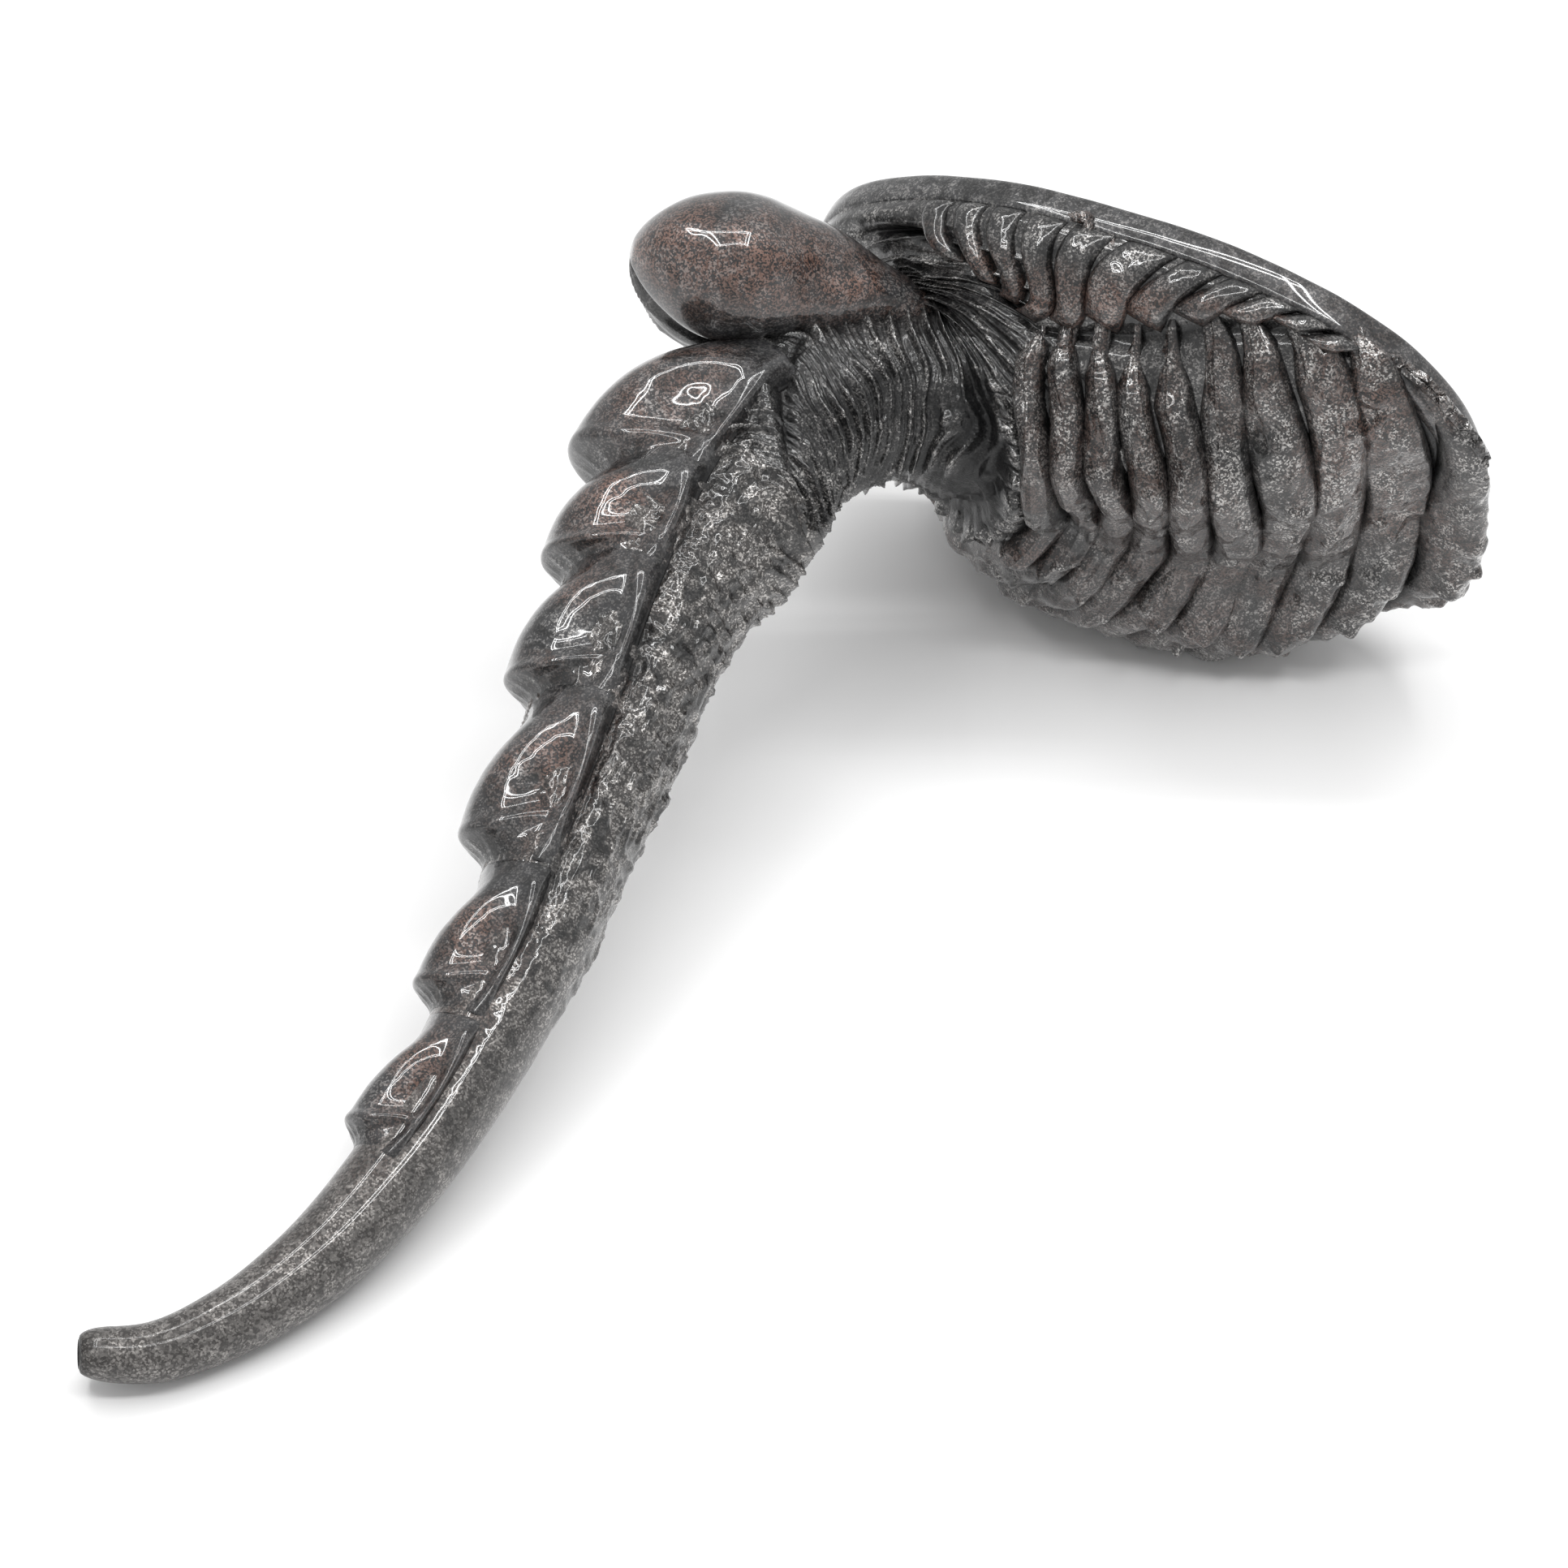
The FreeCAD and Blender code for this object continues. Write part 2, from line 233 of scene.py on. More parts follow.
FAN_HALVINGS = 22


class Horn:
    """The horn's plain skin: a point for each place along it and each angle round it."""

    def __init__(self) -> None:
        """Lay the sections out along the horn and work out how the horn lies."""
        stations = [section.station() for section in BELL_SECTIONS]
        line = [THROAT] + [(u, v) for u, v, _ in ROUND_SECTIONS]
        for index, (u, v, radius) in enumerate(ROUND_SECTIONS):
            after = line[min(index + 2, len(line) - 1)]
            before = line[index]
            run = math.hypot(after[0] - before[0], after[1] - before[1])
            stations.append(Station(
                u, v, 0.0, (after[1] - before[1]) / run, -(after[0] - before[0]) / run,
                radius, radius, 0.0, 2.0))
        self.table = np.array([
            [st.along, st.deep, st.side, st.long_u, st.long_v, st.half_long, st.half_wide,
             st.twist, st.fullness] for st in stations])
        steps = np.linalg.norm(np.diff(self.table[:, :3], axis=0), axis=1)
        run = np.concatenate([[0.0], np.cumsum(np.maximum(steps, LEAST_STEP))])
        self.length = float(run[-1])
        self.marks = run / run[-1]
        self.slopes = np.gradient(self.table, self.marks, axis=0)
        self.turn, self.shift = self._lay()

    @staticmethod
    def _lay() -> tuple[Field, Field]:
        """How the horn is laid down.

        Returns:
            A matrix whose columns are the horn's three axes, and the rim centre's place.
        """
        lean = HORN_LEAN
        flat = math.sqrt(1.0 - lean * lean)
        look = math.radians(LOOK_DEGREES)
        across = np.array([1.0, 0.0, 0.0])
        upward = np.array([0.0, math.sin(look), math.cos(look)])
        away = np.array([0.0, math.cos(look), -math.sin(look)])
        side = across * (lean * MOUTH_ACROSS) + upward * (lean * MOUTH_UPWARD) - away * flat
        side /= np.linalg.norm(side)
        mouth = across * (flat * MOUTH_ACROSS) + upward * (flat * MOUTH_UPWARD) + away * lean
        mouth -= side * (side @ mouth)
        mouth /= np.linalg.norm(mouth)
        axes = np.stack([np.cross(-mouth, side), -mouth, side], 1)
        return np.array(settling()) @ axes, np.array(MOUTH_PLACE)

    def lay(self, points: Field) -> Field:
        """Horn-plane millimetres to the row frame in metres."""
        return (points @ self.turn.T + self.shift) * MM

    def _stations(self, place: Field) -> Field:
        """The section numbers, smoothly between sections.

        Args:
            place: 0 at the mouth to 1 at the tip.

        Returns:
            A row of section numbers for each place.
        """
        spot = np.clip(place, 0.0, 1.0)
        index = np.clip(np.searchsorted(self.marks, spot, side="right") - 1, 0, len(self.marks) - 2)
        gap = self.marks[index + 1] - self.marks[index]
        t = ((spot - self.marks[index]) / gap)[..., None]
        gap = gap[..., None]
        return ((2 * t**3 - 3 * t**2 + 1) * self.table[index]
                + (t**3 - 2 * t**2 + t) * self.slopes[index] * gap
                + (3 * t**2 - 2 * t**3) * self.table[index + 1]
                + (t**3 - t**2) * self.slopes[index + 1] * gap)

    def skin(self, place: Field, angle: Field, inset: Field | float = 0.0) -> Field:
        """Points on the plain skin.

        Args:
            place: 0 at the mouth to 1 at the tip.
            angle: radians round the horn, 0 at the outer curve of the tail.
            inset: how far inside the skin, in millimetres.

        Returns:
            Places in the horn's plane, in millimetres.
        """
        place, angle = np.broadcast_arrays(np.asarray(place, float), np.asarray(angle, float))
        row = self._stations(place)
        flat = np.stack([row[..., 3], row[..., 4], np.zeros_like(place)], -1)
        flat /= np.linalg.norm(flat, axis=-1, keepdims=True)
        side = np.array([0.0, 0.0, 1.0])
        cos_twist = np.cos(row[..., 7])[..., None]
        sin_twist = np.sin(row[..., 7])[..., None]
        long_axis = flat * cos_twist - side * sin_twist
        wide_axis = flat * sin_twist + side * cos_twist
        power = 2.0 / row[..., 8]
        c, s = np.cos(angle), np.sin(angle)
        x = np.sign(c) * np.abs(c) ** power
        y = np.sign(s) * np.abs(s) ** power
        half_long = np.maximum(row[..., 5] - inset, 0.5)
        half_wide = np.maximum(row[..., 6] - inset, 0.5)
        return (row[..., :3] + (half_long * x)[..., None] * long_axis
                + (half_wide * y)[..., None] * wide_axis)

    def normal(self, place: Field, angle: Field) -> Field:
        """Directions out of the plain skin.

        Args:
            place: 0 at the mouth to 1 at the tip.
            angle: radians round the horn.

        Returns:
            Directions of length 1.
        """
        step = 0.002
        low = np.clip(np.asarray(place, float) - step, 0.0, 1.0)
        high = np.clip(np.asarray(place, float) + step, 0.0, 1.0)
        along = self.skin(high, angle) - self.skin(low, angle)
        turn = np.radians(1.5)
        around = self.skin(place, angle + turn) - self.skin(place, angle - turn)
        out = np.cross(along, around)
        return out / (np.linalg.norm(out, axis=-1, keepdims=True) + TINY)

    def raised(self, place: Field, angle: Field, height: Field) -> Field:
        """Points a height above the plain skin."""
        return self.skin(place, angle) + self.normal(place, angle) * height[..., None]

    def at_fan(self, fan: Field, angle: Field) -> Field:
        """The place along the bell where the skin crosses a fan direction.

        Args:
            fan: degrees round the belly's fan point.
            angle: radians round the horn.

        Returns:
            Places from 0 at the mouth.
        """
        low = np.zeros_like(fan)
        high = np.full_like(fan, FAN_DEEPEST)
        for _ in range(FAN_HALVINGS):
            middle = (low + high) / 2
            point = self.skin(middle, angle)
            seen = np.degrees(np.arctan2(point[..., 1] - FAN_V, point[..., 0] - FAN_U))
            seen = np.where(seen < 0, seen + 360, seen)
            beyond = seen > fan
            low = np.where(beyond, middle, low)
            high = np.where(beyond, high, middle)
        return (low + high) / 2


HORN = Horn()


def folded(angle: Field) -> Field:
    """Degrees from 0 to 180, the same on both sides of the horn."""
    degrees = np.degrees(angle) % 360.0
    return np.where(degrees > 180.0, 360.0 - degrees, degrees)


FOLD_START = 0.273
FOLD_ANGLE = 65
FOLD_SLOPE = 0.00089


def crease(degrees: Field) -> Field:
    """Where the line between the pods and the belly ribs runs along the horn."""
    return np.interp(degrees,
                     [28, 44, 56, 66, 78, 86, 102, 121, 132, 180],
                     [0.032, 0.055, 0.077, 0.094, 0.104, 0.080, 0.055, 0.027, 0.021, 0.018])


def fold_lip(degrees: Field) -> Field:
    """Where the tail's lip folds over the neck."""
    return FOLD_START + (degrees - FOLD_ANGLE) * FOLD_SLOPE


def tuck(place: Field, angle: Field) -> Field:
    """How far the carved belly is drawn in underneath.

    Args:
        place: 0 at the mouth to 1 at the tip.
        angle: radians round the horn.

    Returns:
        Millimetres.
    """
    side = np.degrees(angle) % 360.0
    span = ease(0.018, 0.044, place) * (1 - ease(0.13, 0.155, place))
    return 8.5 * span * hump(side, 172.0, 26.0)


def corner(place: Field, angle: Field) -> Field:
    """How far the bell's upper corner stands out at the mouth, in millimetres."""
    side = np.degrees(angle) % 360.0
    return 3.2 * hump(side, 22.0, 20.0) * (1 - ease(0.02, 0.065, place))


@dataclass(frozen=True)
class Relief:
    """The carved relief of the horn's skin, in millimetres."""

    crease_depth: float = 1.8
    wrinkle_pitch: float = 0.0112
    wrinkle_height: float = 1.9
    throat_groove: float = 3.2
    pebble_height: float = 0.75
    sweep_height: float = 1.7
    slot_depth: float = 4.0
    nodule_height: float = 2.2
    lip_height: float = 1.7
    seam_depth: float = 1.5
    thorn_height: float = 0.8
    web_height: float = 4.2
    grit_height: float = 0.22

    def height(self, place: Field, angle: Field, points: Field) -> Field:
        """How far the carved skin stands off the plain skin.

        Args:
            place: 0 at the mouth to 1 at the tip.
            angle: radians round the horn.
            points: the same places on the plain skin, in millimetres.

        Returns:
            Heights in millimetres, less than 0 in a hollow.
        """
        deg = folded(angle)
        warp = GRAIN.rough(points, 16.0, 2)
        fine = FINE.rough(points, 3.0, 3)
        line = crease(deg)
        band = ease(52, 60, deg) * (1 - ease(132, 140, deg))
        total = -self.crease_depth * hump(place, line, 0.006) * band
        total += -0.8 * (1 - ease(0.020, 0.032, place)) * ease(0.012, 0.020, place)
        phase = place / self.wrinkle_pitch + 2.3 * warp + 0.004 * deg
        ridge = (1 - np.abs(np.sin(math.pi * phase))) ** 1.6
        zone = ease(0.098, 0.125, place + 0.04 * (1 - ease(40, 75, deg)))
        zone = zone * (1 - ease(0.30, 0.335, place - 0.0007 * (deg - 65)))
        fold = (1 - np.abs(np.sin(math.pi * 2.6 * phase + 1.3 * warp))) ** 2
        broken = np.clip(0.6 + 0.9 * GRAIN.at(points, 7.0), 0.1, 1.2)
        total += zone * (self.wrinkle_height * ridge * broken + 0.45 * fold)
        wart = np.clip(FINE.at(points, 2.4) - 0.35, 0, 1) * ease(110, 140, deg)
        total += zone * 2.0 * wart
        sweep = (1 - np.abs(np.sin(math.pi * (place / 0.0145 + 0.35 * warp)))) ** 3
        brow = ease(0.040, 0.056, place) * (1 - ease(0.15, 0.18, place)) * (1 - ease(66, 82, deg))
        total += brow * self.sweep_height * sweep
        slot = hump(place, 0.052 + 0.0009 * (deg - 44), 0.007) * hump(deg, 47.0, 10.0)
        total += -self.slot_depth * slot
        groove = ease(88, 110, deg) * hump(place, 0.160, 0.0055)
        total += -self.throat_groove * groove
        knobs = np.abs(np.sin(math.pi * deg / 13.0)) ** 0.7
        total += self.nodule_height * knobs * hump(place, 0.150, 0.0042) * ease(95, 106, deg)
        lip = fold_lip(deg)
        total += self.lip_height * hump(place, lip, 0.0075) * ease(60, 75, deg)
        total += -1.6 * hump(place, lip - 0.017, 0.006) * ease(60, 75, deg)
        tail = ease(0.0, 0.02, place - lip)
        upper = tail * (1 - ease(0.50, 0.72, place))
        total += self.pebble_height * upper * (FINE.worms(points, 3.4) - 0.35)
        side = np.degrees(angle) % 360.0
        seam = hump(side + 5.0 * warp, 92.0, 7.0) * ease(0.29, 0.32, place)
        total += -self.seam_depth * (seam * (1 - ease(0.58, 0.70, place)))
        thorn = hump(side, 172.0, 14.0) * ease(0.36, 0.42, place) * (1 - ease(0.62, 0.70, place))
        total += self.thorn_height * thorn * np.clip(FINE.at(points, 2.2) * 2.2, 0, 1)
        total += self.web_height * hump(place, 0.335, 0.062) * hump(side, 172.0, 42.0)
        total += corner(place, angle) - tuck(place, angle)
        total += self.grit_height * fine * (1 - ease(0.6, 0.8, place)) * ease(0.02, 0.04, place)
        return total


RELIEF = Relief()


# ------------------------------------------------------------------ mesh making


FLOOR_CLEAR = 0.0002
WELD = 0.000002
# Looks stored on the points: copper tint, silver wear with a painted highlight on the belly ribs,
# painted shade in creases and hollows, and satin.
ZONES = ("copper", "wear_and_highlight", "painted_shade", "satin")


@dataclass(frozen=True)
class Patch:
    """Places and looks for one grid of points."""

    points: Field
    copper: Field
    # the second look is silver wear with some painted highlight; the third is painted shade
    wear_and_highlight: Field
    painted_shade: Field
    satin: Field


def new_grid(name: str, columns: int, rows: int) -> bpy.types.Object:
    """A flat grid to be shaped.

    Args:
        name: the piece's name.
        columns: points across.
        rows: points along.

    Returns:
        The new object, alone in the selection.
    """
    bpy.ops.object.select_all(action="DESELECT")
    bpy.ops.mesh.primitive_grid_add(x_subdivisions=columns - 1, y_subdivisions=rows - 1, size=1.0)
    piece = bpy.context.active_object
    piece.name = name
    piece.data.name = name
    return piece


def face_rows(piece: bpy.types.Object, label: str) -> Field:
    """Three numbers for each face of a mesh.

    Args:
        piece: the mesh object.
        label: "center" or "normal".

    Returns:
        A row for each face.
    """
    flat = np.zeros(len(piece.data.polygons) * 3, np.float32)
    piece.data.polygons.foreach_get(label, flat)
    return flat.reshape(-1, 3)


def inside_out(piece: bpy.types.Object) -> bool:
    """Whether a closed mesh's faces point inwards.

    Args:
        piece: a closed mesh object.

    Returns:
        True if the volume summed over its faces is less than nothing.
    """
    areas = np.zeros(len(piece.data.polygons), np.float32)
    piece.data.polygons.foreach_get("area", areas)
    reach = (face_rows(piece, "center") * face_rows(piece, "normal")).sum(axis=1)
    return float((reach * areas).sum()) < 0.0


def faces_inward(piece: bpy.types.Object) -> bool:
    """Whether an open patch faces the middle of the horn.

    Args:
        piece: an open mesh object.

    Returns:
        True if its faces mostly point towards the nearest section's centre.
    """
    centres = face_rows(piece, "center")
    spine = HORN.lay(HORN.table[:, :3])
    apart = np.linalg.norm(spine - centres.mean(axis=0), axis=1)
    away = centres - spine[np.argmin(apart)]
    return float((away * face_rows(piece, "normal")).sum()) < 0.0


def shape_grid(name: str, columns: int, rows: int, maker: Callable[[Field, Field], Patch],
               closed: bool = False, thick: float = 0.0) -> bpy.types.Object:
    """A grid pulled to the shape that maker gives.

    Args:
        name: the piece's name.
        columns: points across, or round.
        rows: points along.
        maker: takes x and y from 0 to 1 and gives the patch.
        closed: whether both x ends meet, as on a tube.
        thick: a skin thickness in millimetres, or 0 for none.

    Returns:
        The finished mesh object.
    """
    piece = new_grid(name, columns, rows)
    mesh = piece.data
    count = len(mesh.vertices)
    flat = np.zeros(count * 3, np.float32)
    mesh.vertices.foreach_get("co", flat)
    flat = flat.reshape(-1, 3)
    x = np.round((flat[:, 0] + 0.5) * (columns - 1)) / (columns - 1)
    y = np.round((flat[:, 1] + 0.5) * (rows - 1)) / (rows - 1)
    patch = maker(x.astype(float), y.astype(float))
    placed = HORN.lay(patch.points)
    placed[:, 2] = np.maximum(placed[:, 2], FLOOR_CLEAR)
    mesh.vertices.foreach_set("co", placed.astype(np.float32).ravel())
    for label in ZONES:
        layer = mesh.attributes.new(label, "FLOAT", "POINT")
        amount = np.broadcast_to(getattr(patch, label), (count,))
        layer.data.foreach_set("value", np.ascontiguousarray(amount, np.float32))
    mesh.update()
    bpy.ops.object.mode_set(mode="EDIT")
    bpy.ops.mesh.select_all(action="SELECT")
    if closed:
        bpy.ops.mesh.remove_doubles(threshold=WELD)
        bpy.ops.mesh.normals_make_consistent(inside=False)
    elif faces_inward(piece):
        bpy.ops.mesh.flip_normals()
    bpy.ops.object.mode_set(mode="OBJECT")
    if thick > 0:
        modifier = piece.modifiers.new("skin", "SOLIDIFY")
        modifier.thickness = thick * MM
        modifier.offset = -1.0
        bpy.ops.object.modifier_apply(modifier=modifier.name)
        for vertex in mesh.vertices:
            vertex.co.z = max(vertex.co.z, 0.0)
    elif inside_out(piece):
        bpy.ops.object.mode_set(mode="EDIT")
        bpy.ops.mesh.flip_normals()
        bpy.ops.object.mode_set(mode="OBJECT")
    bpy.ops.object.shade_smooth()
    return piece


# ------------------------------------------------------------------ finishes


class Wire:
    """A number socket in a material, with arithmetic that adds its own Math nodes."""

    def __init__(self, maker: "Paint", socket: bpy.types.NodeSocket) -> None:
        """Keep the socket and the material it belongs to."""
        self.maker = maker
        self.socket = socket

    def _math(self, operation: str, *values: "Wire | float") -> "Wire":
        """One Math node on some values."""
        node = self.maker.add("ShaderNodeMath", {"operation": operation},
                              dict(enumerate(values)))
        return Wire(self.maker, node.outputs[0])

    def __add__(self, other: "Wire | float") -> "Wire":
        """Sum."""
        return self._math("ADD", self, other)

    def __sub__(self, other: "Wire | float") -> "Wire":
        """Difference."""
        return self._math("SUBTRACT", self, other)

    def __rsub__(self, other: float) -> "Wire":
        """Difference, reflected."""
        return self._math("SUBTRACT", other, self)

    def __mul__(self, other: "Wire | float") -> "Wire":
        """Product."""
        return self._math("MULTIPLY", self, other)

    def power(self, other: float) -> "Wire":
        """Power."""
        return self._math("POWER", self, other)

    def ramp(self, low: float, high: float) -> "Wire":
        """0 below low to 1 above high, smoothly."""
        node = self.maker.add("ShaderNodeMapRange", {"interpolation_type": "SMOOTHSTEP"},
                              {"Value": self, "From Min": low, "From Max": high})
        return Wire(self.maker, node.outputs[0])


MIX_AMOUNT = 0
MIX_FIRST = 6
MIX_SECOND = 7
MIX_COLOUR = 2


class Paint:
    """One material's node tree."""

    def __init__(self, name: str) -> None:
        """Start an empty node material."""
        self.material = bpy.data.materials.new(name)
        self.material.use_nodes = True
        self.tree = self.material.node_tree
        self.tree.nodes.clear()
        self.place = self.add("ShaderNodeTexCoord", {}, {}).outputs["Object"]

    def add(self, kind: str, settings: dict, values: dict) -> bpy.types.Node:
        """A node with its settings and socket values.

        Args:
            kind: the node's type name.
            settings: node properties, set first.
            values: socket name or number to a constant, a socket or a Wire.

        Returns:
            The new node.
        """
        node = self.tree.nodes.new(kind)
        for key, setting in settings.items():
            setattr(node, key, setting)
        for key, given in values.items():
            if isinstance(given, Wire):
                self.tree.links.new(given.socket, node.inputs[key])
            elif isinstance(given, bpy.types.NodeSocket):
                self.tree.links.new(given, node.inputs[key])
            else:
                node.inputs[key].default_value = given
        return node

    def zone(self, label: str) -> Wire:
        """A number stored on the mesh's points."""
        node = self.add("ShaderNodeAttribute", {"attribute_name": label}, {})
        return Wire(self, node.outputs["Fac"])

    def noise(self, scale: float, detail: float = 3.0, rough: float = 0.55,
              warp: float = 0.0) -> Wire:
        """Cloudy noise.

        Args:
            scale: clouds to the metre.
            detail: how many finer layers.
            rough: how strong the finer layers are.
            warp: how far the clouds are twisted.

        Returns:
            A number from 0 to 1.
        """
        node = self.add("ShaderNodeTexNoise", {},
                        {"Vector": self.place, "Scale": scale, "Detail": detail,
                         "Roughness": rough, "Distortion": warp})
        return Wire(self, node.outputs["Fac"])

    def flecks(self, scale: float) -> Wire:
        """A random number for each tiny cell.

        Args:
            scale: cells to the metre.

        Returns:
            A number from 0 to 1.
        """
        node = self.add("ShaderNodeTexVoronoi", {"feature": "F1"},
                        {"Vector": self.place, "Scale": scale})
        split = self.add("ShaderNodeSeparateColor", {}, {"Color": node.outputs["Color"]})
        return Wire(self, split.outputs["Red"])

    def mix(self, amount: Wire | float, first: object, second: object) -> bpy.types.NodeSocket:
        """A colour between two colours.

        Args:
            amount: 0 for the first colour to 1 for the second.
            first: a colour or a colour socket.
            second: a colour or a colour socket.

        Returns:
            The mixed colour's socket.
        """
        node = self.add("ShaderNodeMix", {"data_type": "RGBA"},
                        {MIX_AMOUNT: amount, MIX_FIRST: first, MIX_SECOND: second})
        return node.outputs[MIX_COLOUR]

    def finish(self, shader: bpy.types.Node) -> bpy.types.Material:
        """Join a shader to the material's output."""
        self.add("ShaderNodeOutputMaterial", {}, {"Surface": shader.outputs[0]})
        return self.material


@dataclass(frozen=True)
class Lacquer:
    """Clear-coated dark casting with mica speckle; what differs between pieces."""

    name: str
    dark: tuple[float, float, float, float] = (0.005, 0.0052, 0.0055, 1.0)
    body: tuple[float, float, float, float] = (0.034, 0.033, 0.033, 1.0)
    silver: tuple[float, float, float, float] = (0.46, 0.445, 0.43, 1.0)
    copper: tuple[float, float, float, float] = (0.17, 0.085, 0.060, 1.0)
    coat: float = 1.0
    coat_rough: float = 0.05
    gleam: float = 0.25
    coat_bend: float = 1.55
    rough: float = 0.38
    bump_strength: float = 0.55
    bump_distance: float = 0.0004
    fleck_scale: float = 3300.0
    relief: float = 1.0

    def material(self) -> bpy.types.Material:
        """The finish as a material.

        Returns:
            The new material.
        """
        paint = Paint(self.name)
        copper = paint.zone("copper")
        wear_and_highlight = paint.zone("wear_and_highlight")
        painted_shade = paint.zone("painted_shade")
        satin = paint.zone("satin")
        cloud = paint.noise(55.0, 4.0, 0.6, 0.6)
        streak = paint.noise(170.0, 5.0, 0.65, 1.2)
        fleck = paint.flecks(self.fleck_scale)
        second = paint.flecks(self.fleck_scale * 0.57)
        tone = streak.ramp(0.36, 0.66) * (1.0 - satin * 0.75) + satin * 0.60
        # painted shade: the base is pulled to the dark colour in creases, grooves and undersides,
        # where shade falls
        base = paint.mix(tone * (1.0 - painted_shade), self.dark, self.body)
        warm = copper * cloud.ramp(0.36, 0.58) * fleck.ramp(0.25, 0.75)
        base = paint.mix(warm, base, self.copper)
        # silver flecks follow the wear mask: real wear on raised parts, and on the belly ribs also
        # a painted highlight
        shine = (wear_and_highlight * streak.ramp(0.40, 0.62) * 1.15 + 0.08) * fleck.ramp(0.50, 0.90)
        shine = shine + satin * second.ramp(0.35, 1.0) * 0.24
        # the painted shade also dims the silver flecks in creases
        shine = shine * (1.0 - painted_shade)
        base = paint.mix(shine, base, self.silver)
        thread = (paint.noise(420.0, 2.0, 0.5, 1.6) - 0.5).power(2.0)
        lines = (1.0 - thread * 90.0).ramp(0.0, 1.0)
        height = lines * wear_and_highlight * 0.6 + fleck * 0.10 + streak * 0.5
        bump = paint.add("ShaderNodeBump", {},
                         {"Strength": self.bump_strength * self.relief,
                          "Distance": self.bump_distance, "Height": height})
        shader = paint.add("ShaderNodeBsdfPrincipled", {}, {
            "Base Color": base, "Metallic": shine.ramp(0.0, 0.6) * 0.6 + 0.15,
            "Roughness": self.rough - shine * 0.08 + satin * 0.08,
            # the painted shade also thins the clear coat, so creases show less reflection
            "Coat Weight": self.coat - satin * 0.55 - painted_shade * 0.75,
            "Normal": bump.outputs[0]})
        shader.inputs["Specular IOR Level"].default_value = self.gleam
        shader.inputs["Coat Roughness"].default_value = self.coat_rough
        shader.inputs["Coat IOR"].default_value = self.coat_bend
        return paint.finish(shader)


class Finish(Enum):
    """The finishes the pieces are given."""

    RIM = Lacquer("rim_lacquer", body=(0.050, 0.050, 0.052, 1.0), relief=0.5)
    BELL = Lacquer("bell_lacquer")
    RIB = Lacquer("rib_lacquer")
    POD = Lacquer("copper_lacquer")
    SCUTE = Lacquer("scute_lacquer", body=(0.036, 0.036, 0.038, 1.0), relief=0.6)
    TAIL = Lacquer("tail_satin", body=(0.060, 0.055, 0.052, 1.0), silver=(0.46, 0.44, 0.42, 1.0))


FINISHES: dict[Finish, bpy.types.Material] = {}


def dress(piece: bpy.types.Object, finish: Finish, nodes: Sequence[str] = ()) -> None:
    """Give a piece its finish and tie it to the frame.

    Args:
        piece: the finished mesh.
        finish: which finish it takes.
        nodes: the frame's nodes that it stands in place of.
    """
    if finish not in FINISHES:
        FINISHES[finish] = finish.value.material()
    piece.data.materials.clear()
    piece.data.materials.append(FINISHES[finish])
    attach(piece, "root")
    if nodes:
        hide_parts(*nodes)
    LOG.info("%s: %d faces", piece.name, len(piece.data.polygons))


# ------------------------------------------------------------------ sub-assemblies


WALL_PLACES = (0.0, 0.02, 0.08, 0.16, 0.30, 0.55, 0.80, 0.96, 1.0)
WALL_DEPTHS = (6.2, 6.6, 10.5, 5.2, 4.8, 4.0, 3.1, 2.3, 1.9)


